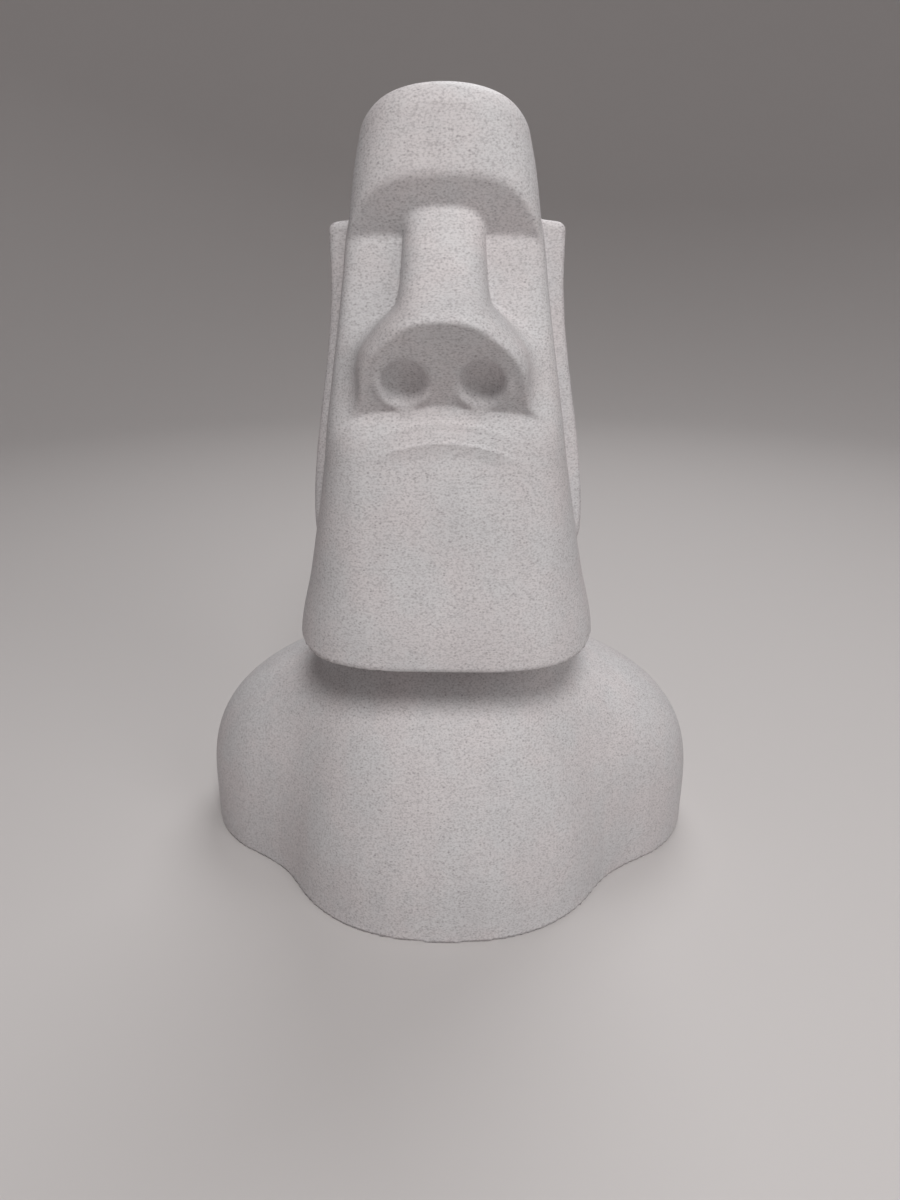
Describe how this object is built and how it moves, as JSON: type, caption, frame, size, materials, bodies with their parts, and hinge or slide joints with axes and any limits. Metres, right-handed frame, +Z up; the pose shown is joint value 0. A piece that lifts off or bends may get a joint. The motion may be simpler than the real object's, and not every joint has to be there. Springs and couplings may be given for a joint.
{
  "type": "moai head statue",
  "caption": "Moai head statue: tall stylised stone-look head with a heavy brow, long nose and long ears on a rounded bust.",
  "frame": {"origin": "middle of the overall width and depth, on the underside", "axes": "+Z up from the base to the crown, the face looks along -Y, +X to the statue's left shoulder"},
  "size_m": [0.2946, 0.196, 0.4],
  "materials": {
    "stone_look_plastic": "matte, dense fine dark speckle, faint level layer lines"
  },
  "bodies": {
    "root": {"moai_statue": "stone_look_plastic"}
  },
  "joints": []
}
